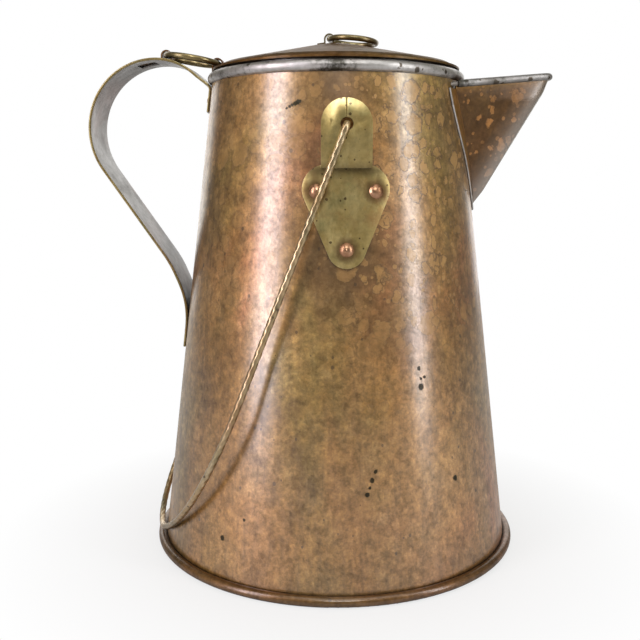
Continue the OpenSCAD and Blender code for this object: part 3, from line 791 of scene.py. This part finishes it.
def copper(name, tint, film=1.0, dark=0.0, spotty=1.0, size=0.46, specks=(), halos=(), spout=False):
    """Tarnished sheet copper under a thin film that gives the pale highlights.

    tint multiplies the colour, film is the film's weight, and dark is how much of it is darkly tarnished.
    spotty is the strength of the round marks, and size how much of its cell a mark fills.
    specks and halos are black specks and dark places. spout adds the spout's clean strip and a painted
    highlight along its keel.
    """
    k = Look(name, 1.0, 0.5)
    low = k.ramp(k.axis("Z"), (0.03, 1.0), (0.14, 0.0))
    streak = k.noise(1, 3, 0.6, k.stretch((420, 420, 9)))
    blotch = k.noise(210, 5, 0.75, k.shaken(500, 0.002))
    grain = k.noise(620, 3, 0.7)
    base = copper_ground(k, low, streak, blotch, grain)

    brown = k.ramp(k.drift(30, 6, 0.7, (1, 5, 2), squeeze=(1, 1, 0.75)), (0.50, 0.0), (0.72, 1.0))
    brown = k.maths("MULTIPLY", brown, 0.50)
    for point, reach, amount in halos:
        brown = k.most(brown, k.maths("MULTIPLY", k.near(point, reach, k.shaken(60, 0.012)), amount))
    base = k.mix(brown, base, BROWN_TARNISH)

    inside, outline = copper_marks(k, spotty, size)
    base = k.stain(base, inside, 0.90, MARK_INSIDE)
    base = k.stain(base, outline, 0.90, MARK_OUTLINE)
    dot, _ = k.spots(330, 0.10, 0.22, k.stretch((1, 1, 0.8), move=(5, 5, 0)))
    base = k.stain(base, dot, 0.7, BROWN_DOT)
    black = 0.0
    for x, y, z, reach in specks:
        speck = k.near((x, y, z), reach, k.shaken(500, 0.0016))
        black = k.most(black, k.ramp(speck, (0.32, 0.0), (0.52, 1.0)))
    base = k.stain(base, black, 0.92, BLACK_SPECK)

    base = k.mix(1.0, base, tint, "MULTIPLY")
    if spout:
        band, keel = spout_bands(k)
        bare = k.maths("SUBTRACT", 1.0, k.most(inside, band))
        base = k.stain(base, band, 0.7, GOLD_BAND)
        base = k.stain(base, bare, dark, DARK_TARNISH)
        # painted highlight: a pale grey strip along the keel, where its rounding would catch the light
        base = k.stain(base, keel, 0.75, KEEL_HIGHLIGHT)
    else:
        base = k.mix(dark, base, DARK_TARNISH)
    # painted shade and grime: the copper is darkened in corners and where other parts meet it
    base = k.stain(base, k.corner_dirt_and_shade(2.2), 0.85, COPPER_DIRT_AND_SHADE)

    rough = k.ramp(k.drift(26, 4, 0.6, (4, 4, 4), squeeze=(1, 1, 0.7)), (0.30, 0.46), (0.70, 0.60))
    rough = k.stain(rough, low, 0.4, (0.60, 0.60, 0.60))
    normal = k.bump(k.noise(9, 2, 0.5), 0.0026, 0.5)
    normal = k.bump(streak, 0.00006, 0.7, normal)
    normal = k.bump(k.noise(180, 4, 0.65), 0.00016, 0.8, normal)
    normal = k.bump(outline, 0.00010, 0.6, normal)
    metallic = k.maths("SUBTRACT", 1.0, k.maths("MULTIPLY", inside, 0.60))

    marked = k.maths("MULTIPLY", k.most(inside, k.maths("MULTIPLY", outline, 0.6)), 0.45)
    gone = k.most(marked, k.maths("MULTIPLY", black, 0.9))
    weight = k.ramp(k.mix(0.5, blotch, grain), (0.36, film * 0.50), (0.58, film))
    weight = k.maths("MULTIPLY", weight, k.maths("SUBTRACT", 1.0, gone))
    if spout:
        weight = k.most(weight, k.maths("MULTIPLY", keel, 0.8))
    k.coat(weight, FILM_ROUGHNESS, FILM_IOR)
    return k.finish(base, rough, normal, metallic)


def brass(name, light, pitted, tint=(1.0, 1.0, 1.0), dirt_and_shade=0.85, dirt_and_shade_mm=1.6, step_shadow=False, rusty=()):
    """Old sheet or wire brass.

    light and tint multiply its colour, and dirt is how dark its corners are painted, shade and grime
    together, as far as dirt_and_shade_mm from them. step_shadow paints the shadow in the crease of the ear's
    step as a dark line.
    rusty lists points with a rusty ring round them.
    """
    k = Look(name, 1.0, 0.36)
    k.coat(0.5, 0.25, 1.6)
    cloud = k.noise(45, 6, 0.62, warp=0.5)
    base = k.ramp(cloud, *BRASS_TONES)
    green = k.ramp(k.drift(70, 4, 0.6, (3, 7, 1)), (0.48, 0.0), (0.66, 1.0))
    base = k.stain(base, green, 0.55, BRASS_GREEN)
    red = k.ramp(k.drift(38, 5, 0.65, (8, 1, 6)), (0.56, 0.0), (0.70, 1.0))
    base = k.stain(base, red, 0.60, BRASS_RED)
    rubbed = k.ramp(k.drift(110, 5, 0.7, (1, 2, 9), squeeze=(1, 1, 0.5)), (0.50, 0.0), (0.66, 1.0))
    base = k.stain(base, rubbed, 0.5, BRASS_RUBBED)
    base = k.shade(base, k.noise(480, 4, 0.6), 0.55, (0.3, 0.66), (0.6, 1.08))
    pits, _ = k.spots(520, 0.16, 0.30, k.shaken(900, 0.0006))
    base = k.stain(base, pits, pitted, BRASS_PIT)
    # painted shadow: a dark line across the ear where its raised tab shades the shield below
    if step_shadow:
        starts, full, full_to, ends = STEP_SHADOW
        z = k.axis("Z", k.shaken(300, 0.0008))
        line = k.ramp(z, (starts, 0.0), (full, 1.0), (full_to, 1.0), (ends, 0.0))
        base = k.stain(base, line, 0.85, BRASS_DIRT_AND_SHADE)
    for point in rusty:
        ring = k.ramp(k.near(point, 7.0, k.shaken(400, 0.0020)), (0.12, 0.0), (0.46, 1.0))
        base = k.stain(base, ring, 0.72, RUST)
    base = k.mix(1.0, base, tuple(light * c for c in tint), "MULTIPLY")
    # painted shade and grime in the brass's corners
    base = k.stain(base, k.corner_dirt_and_shade(dirt_and_shade_mm), dirt_and_shade, BRASS_DIRT_AND_SHADE)
    rough = k.ramp(cloud, (0.3, 0.44), (0.7, 0.28))
    normal = k.bump(k.noise(260, 3, 0.6), 0.00010, 0.8)
    normal = k.bump(k.noise(28, 2, 0.5), 0.0009, 0.4, normal)
    return k.finish(base, rough, normal)


def tin(name, grey, worn, pitted, through=TIN_THROUGH, painted_shade_below=None):
    """Tinned metal.

    worn is how much of the metal below shows, in the colour called through, and pitted how stained it is.
    painted_shade_below gives two heights in metres for painted shade low down, standing for shade on the
    strap's lower end
    by the wall: darkest up to the lower one, and plain from the upper one on.
    """
    k = Look(name, 1.0, 0.38)
    cloud = k.noise(40, 6, 0.65, warp=0.4)
    base = k.ramp(cloud, *((at, tuple(grey * c for c in tone)) for at, tone in TIN_TONES))
    below = k.ramp(k.drift(24, 5, 0.6, (6, 2, 3)), (0.48, 0.0), (0.64, 1.0))
    base = k.stain(base, below, worn, through)
    spot, spot_edge = k.spots(300, 0.34, 0.38, k.shaken(600, 0.0014))
    base = k.stain(base, spot, pitted, TIN_SPOT)
    base = k.stain(base, spot_edge, pitted * 0.5, TIN_SPOT_EDGE)
    stain = k.ramp(k.drift(75, 6, 0.75, (4, 9, 7)), (0.50, 0.0), (0.62, 1.0))
    base = k.stain(base, stain, pitted, TIN_STAIN)
    base = k.shade(base, k.noise(420, 4, 0.6), 0.6, (0.3, 0.72), (0.6, 1.08))
    # painted shade: darker towards the bottom, standing for shade on the strap's lower end
    if painted_shade_below:
        base = k.shade(base, k.axis("Z"), 1.0, (painted_shade_below[0], 0.30), (painted_shade_below[1], 1.0))
    # painted shade and grime in the tin's corners
    base = k.stain(base, k.corner_dirt_and_shade(2.0), 0.9, TIN_DIRT_AND_SHADE)
    rough = k.ramp(cloud, (0.3, 0.52), (0.7, 0.34))
    normal = k.bump(k.noise(320, 4, 0.6), 0.00014, 0.8)
    normal = k.bump(k.noise(30, 2, 0.5), 0.0010, 0.4, normal)
    return k.finish(base, rough, normal)


def rivet_copper():
    k = Look("rivet_copper", 1.0, 0.30)
    cloud = k.noise(220, 5, 0.6)
    # painted shade and grime where the rivet heads meet the sheet
    base = k.stain(k.ramp(cloud, *RIVET_TONES), k.corner_dirt_and_shade(1.2), 0.9, RIVET_DIRT_AND_SHADE)
    rough = k.ramp(cloud, (0.3, 0.44), (0.7, 0.24))
    return k.finish(base, rough, k.bump(k.noise(500, 3, 0.6), 0.00010, 0.8))


def iron():
    k = Look("iron_wire", 1.0, 0.55)
    cloud = k.noise(120, 5, 0.65)
    rough = k.ramp(cloud, (0.3, 0.65), (0.7, 0.45))
    return k.finish(k.ramp(cloud, *IRON_TONES), rough, k.bump(k.noise(500, 3, 0.6), 0.0001, 0.8))


def paint(obj, *materials, choose=None):
    """Gives obj its materials; choose(x, y, z) in mm picks one of several for each face."""
    obj.data.materials.clear()
    for material in materials:
        obj.data.materials.append(material)
    for polygon in obj.data.polygons:
        polygon.material_index = choose(*(polygon.center / MM)) if choose else 0


def body_zone(x, y, z):
    """0 for the wall's outside, 1 for the rolled rim, 2 for the tinned inside."""
    if z > RIM_H - 0.6:
        return 1
    return 0 if math.hypot(x, y) > wall_r(z) - 0.5 * SHEET else 2


def strap_zone(x, y, z):
    """0 for the strap's broad faces, 1 for its two cut edges."""
    return 1 if abs(y) > STRAP_W / 2 - 0.30 else 0


# ---------------------------------------------------------------- put it together
body_copper = copper("body_copper", (0.80, 0.77, 0.60), specks=SPECKS, halos=HALOS)
spout_copper = copper("spout_copper", (0.86, 0.66, 0.40), film=0.22, dark=0.78, size=0.3312, spout=True)
lid_copper = copper("lid_copper", (0.62, 0.58, 0.58), film=0.10, dark=0.60, spotty=0.5)
pan_copper = copper("pan_copper", (0.72, 0.64, 0.54), film=0.5, dark=0.60, spotty=0.5)
ear_rivet_points = [on_wall(EAR_TURN + turn, z, side) for turn in (-90, 90) for side, z in EAR_RIVETS]
ear_brass = brass("ear_brass", 1.45, 0.9, dirt_and_shade=0.95, dirt_and_shade_mm=2.0, step_shadow=True, rusty=ear_rivet_points)
flange_brass = brass("flange_brass", 1.65, 0.4, tint=(1.18, 0.90, 0.78), dirt_and_shade=0.15)
wire_brass = brass("wire_brass", 1.15, 0.8, tint=(1.05, 0.98, 1.30))
ring_brass = brass("ring_brass", 0.62, 0.6)
strap_edge = brass("strap_edge", 0.85, 0.6)
rim_tin = tin("rim_tin", 0.50, 0.12, 0.95)
hem_tin = tin("hem_tin", 0.34, 0.15, 0.95)
# the strap's tin gets painted shade low down
strap_tin = tin("strap_tin", 0.25, 0.60, 0.20, through=(0.270, 0.195, 0.180), painted_shade_below=(0.118, 0.170))
inner_tin = tin("inner_tin", 0.40, 0.30, 0.4)
solder_tin = tin("solder_tin", 0.55, 0.10, 0.30)
rivets = rivet_copper()
iron_wire = iron()

bail = make_bail()
strap = make_strap()
spout_sheet, (flange, solder) = make_spout()
hem = make_hem()
near_ear = lean_tab(soften("near_ear", "pot", 0.35), EAR_TURN - 90)
far_ear = lean_tab(soften("far_ear", "pot", 0.35), EAR_TURN + 90)

paint(nodes["body_shell"], body_copper, rim_tin, inner_tin, choose=body_zone)
paint(strap, strap_tin, strap_edge, choose=strap_zone)
for obj, material in (
    (nodes["base_pan"], pan_copper), (nodes["ring_loop"], pan_copper),
    (nodes["lid_cover"], lid_copper), (nodes["lid_hinge_tab"], lid_copper),
    (nodes["lid_collar"], inner_tin),
    (nodes["rim_wire"], iron_wire), (nodes["spout_rim_wire"], iron_wire),
    (nodes["handle_rivets"], rivets), (nodes["ear_rivets"], rivets),
    (nodes["hinge_ring"], ring_brass), (nodes["lid_ring"], ring_brass), (nodes["ring_staple"], ring_brass),
    (bail, wire_brass), (near_ear, ear_brass), (far_ear, ear_brass),
    (spout_sheet, spout_copper), (flange, flange_brass), (solder, solder_tin), (hem, hem_tin),
):
    paint(obj, material)

# ---------------------------------------------------------------- floor, lights and camera
FLOOR_HALF = 3.0
# The floor's fade to plain white: the radius where it starts, the share of white there, and where it ends
FADE_FROM, FADE_START, FADE_TO = 0.088, 0.70, 0.17
ROOM_COLOUR, ROOM_STRENGTH = (1.0, 0.94, 0.76, 1), 0.25

# The camera: its distance, turn round the pot and height; its downward pitch and turn off the pot's axis in
# radians; its sensor and lens in mm
CAMERA_D, CAMERA_TURN, CAMERA_Z = 0.4179, math.radians(3.0), 0.1762
CAMERA_PITCH, CAMERA_YAW = 0.164, 0.017709
SENSOR, LENS = 36.0, 47.95875

# Each light: angle round the pot from the front, distance, height, width, length, power, the height that it
# aims at, and colour
LIGHTS = {
    "left_box": (-52, 1.1, 0.45, 0.34, 1.3, 10.5, 0.12, (0.99, 0.92, 1.0)),
    "right_box": (62, 1.1, 0.45, 0.18, 1.3, 6.2, 0.12, (0.99, 0.99, 1.0)),
    "back_left": (-158, 1.3, 0.3, 1.0, 1.4, 7, 0.12, (1, 1, 1)),
    "back_right": (160, 1.3, 0.3, 0.9, 1.4, 6, 0.12, (1, 1, 1)),
    "front_top": (5, 0.95, 1.0, 0.34, 0.45, 4.2, 0.2, (1, 1, 1)),
    "overhead": (20, 0.35, 1.5, 1.2, 1.2, 6, 0.12, (1, 1, 1)),
}

scene = bpy.context.scene
floor_mesh = bpy.data.meshes.new("floor")
floor_mesh.from_pydata([(-FLOOR_HALF, -FLOOR_HALF, 0), (FLOOR_HALF, -FLOOR_HALF, 0),
                        (FLOOR_HALF, FLOOR_HALF, 0), (-FLOOR_HALF, FLOOR_HALF, 0)], [], [(0, 1, 2, 3)])
floor = bpy.data.objects.new("floor", floor_mesh)
scene.collection.objects.link(floor)


def pale_floor():
    """A pale sweep: it shades softly round the pot's foot and fades to plain white further out."""
    k = Look("pale_floor", 0.0, 0.8)
    k.finish(k.ramp(k.noise(3, 2), (0.3, 0.60), (0.7, 0.63)), 0.8)
    far = k.tree.nodes.new("ShaderNodeVectorMath")
    far.operation = "LENGTH"
    k.put(far.inputs[0], k.place)
    fade = k.ramp(far.outputs["Value"], (FADE_FROM, FADE_START), (FADE_TO, 1.0))
    ray = k.tree.nodes.new("ShaderNodeLightPath")
    white = k.tree.nodes.new("ShaderNodeEmission")
    white.inputs[1].default_value = 1.0
    blend = k.tree.nodes.new("ShaderNodeMixShader")
    k.put(blend.inputs[0], k.maths("MULTIPLY", fade, ray.outputs["Is Camera Ray"]))
    k.put(blend.inputs[1], k.shader.outputs[0])
    k.put(blend.inputs[2], white.outputs[0])
    out = next(n for n in k.tree.nodes if n.type == "OUTPUT_MATERIAL")
    k.put(out.inputs[0], blend.outputs[0])
    return k.material


def studio():
    """White behind the pot, and a dim warm room for the metal to mirror."""
    world = bpy.data.worlds.new("studio")
    world.use_nodes = True
    tree = world.node_tree
    tree.nodes.clear()
    shaders = []
    for colour, strength in ((ROOM_COLOUR, ROOM_STRENGTH), ((1, 1, 1, 1), 1.0)):
        shader = tree.nodes.new("ShaderNodeBackground")
        shader.inputs[0].default_value = colour
        shader.inputs[1].default_value = strength
        shaders.append(shader)
    blend = tree.nodes.new("ShaderNodeMixShader")
    ray = tree.nodes.new("ShaderNodeLightPath")
    out = tree.nodes.new("ShaderNodeOutputWorld")
    tree.links.new(ray.outputs["Is Camera Ray"], blend.inputs[0])
    for socket, shader in zip(blend.inputs[1:], shaders):
        tree.links.new(shader.outputs[0], socket)
    tree.links.new(blend.outputs[0], out.inputs[0])
    return world


def softbox(name, azimuth, distance, height, width, tall, power, aim_z, colour):
    """A soft light at an angle round the pot from the camera's side, positive to the right."""
    light = bpy.data.lights.new(name, "AREA")
    light.shape = "RECTANGLE"
    light.size, light.size_y = width, tall
    light.energy = power
    light.color = colour
    obj = bpy.data.objects.new(name, light)
    scene.collection.objects.link(obj)
    a = -math.pi / 2 + CAMERA_TURN + math.radians(azimuth)
    obj.location = (distance * math.cos(a), distance * math.sin(a), height)
    aim = Vector((0, 0, aim_z)) - obj.location
    obj.rotation_euler = aim.to_track_quat("-Z", "Y").to_euler()


paint(floor, pale_floor())
scene.world = studio()
for light_name, settings in LIGHTS.items():
    softbox(light_name, *settings)

camera_data = bpy.data.cameras.new("photo_view")
camera_data.sensor_width = SENSOR
camera_data.lens = LENS
camera = bpy.data.objects.new("photo_view", camera_data)
scene.collection.objects.link(camera)
camera.location = (CAMERA_D * math.sin(CAMERA_TURN), -CAMERA_D * math.cos(CAMERA_TURN), CAMERA_Z)
camera.rotation_euler = (math.pi / 2 - CAMERA_PITCH, 0, CAMERA_TURN + CAMERA_YAW)
scene.camera = camera
scene.view_settings.view_transform = "Standard"

bpy.context.view_layer.update()
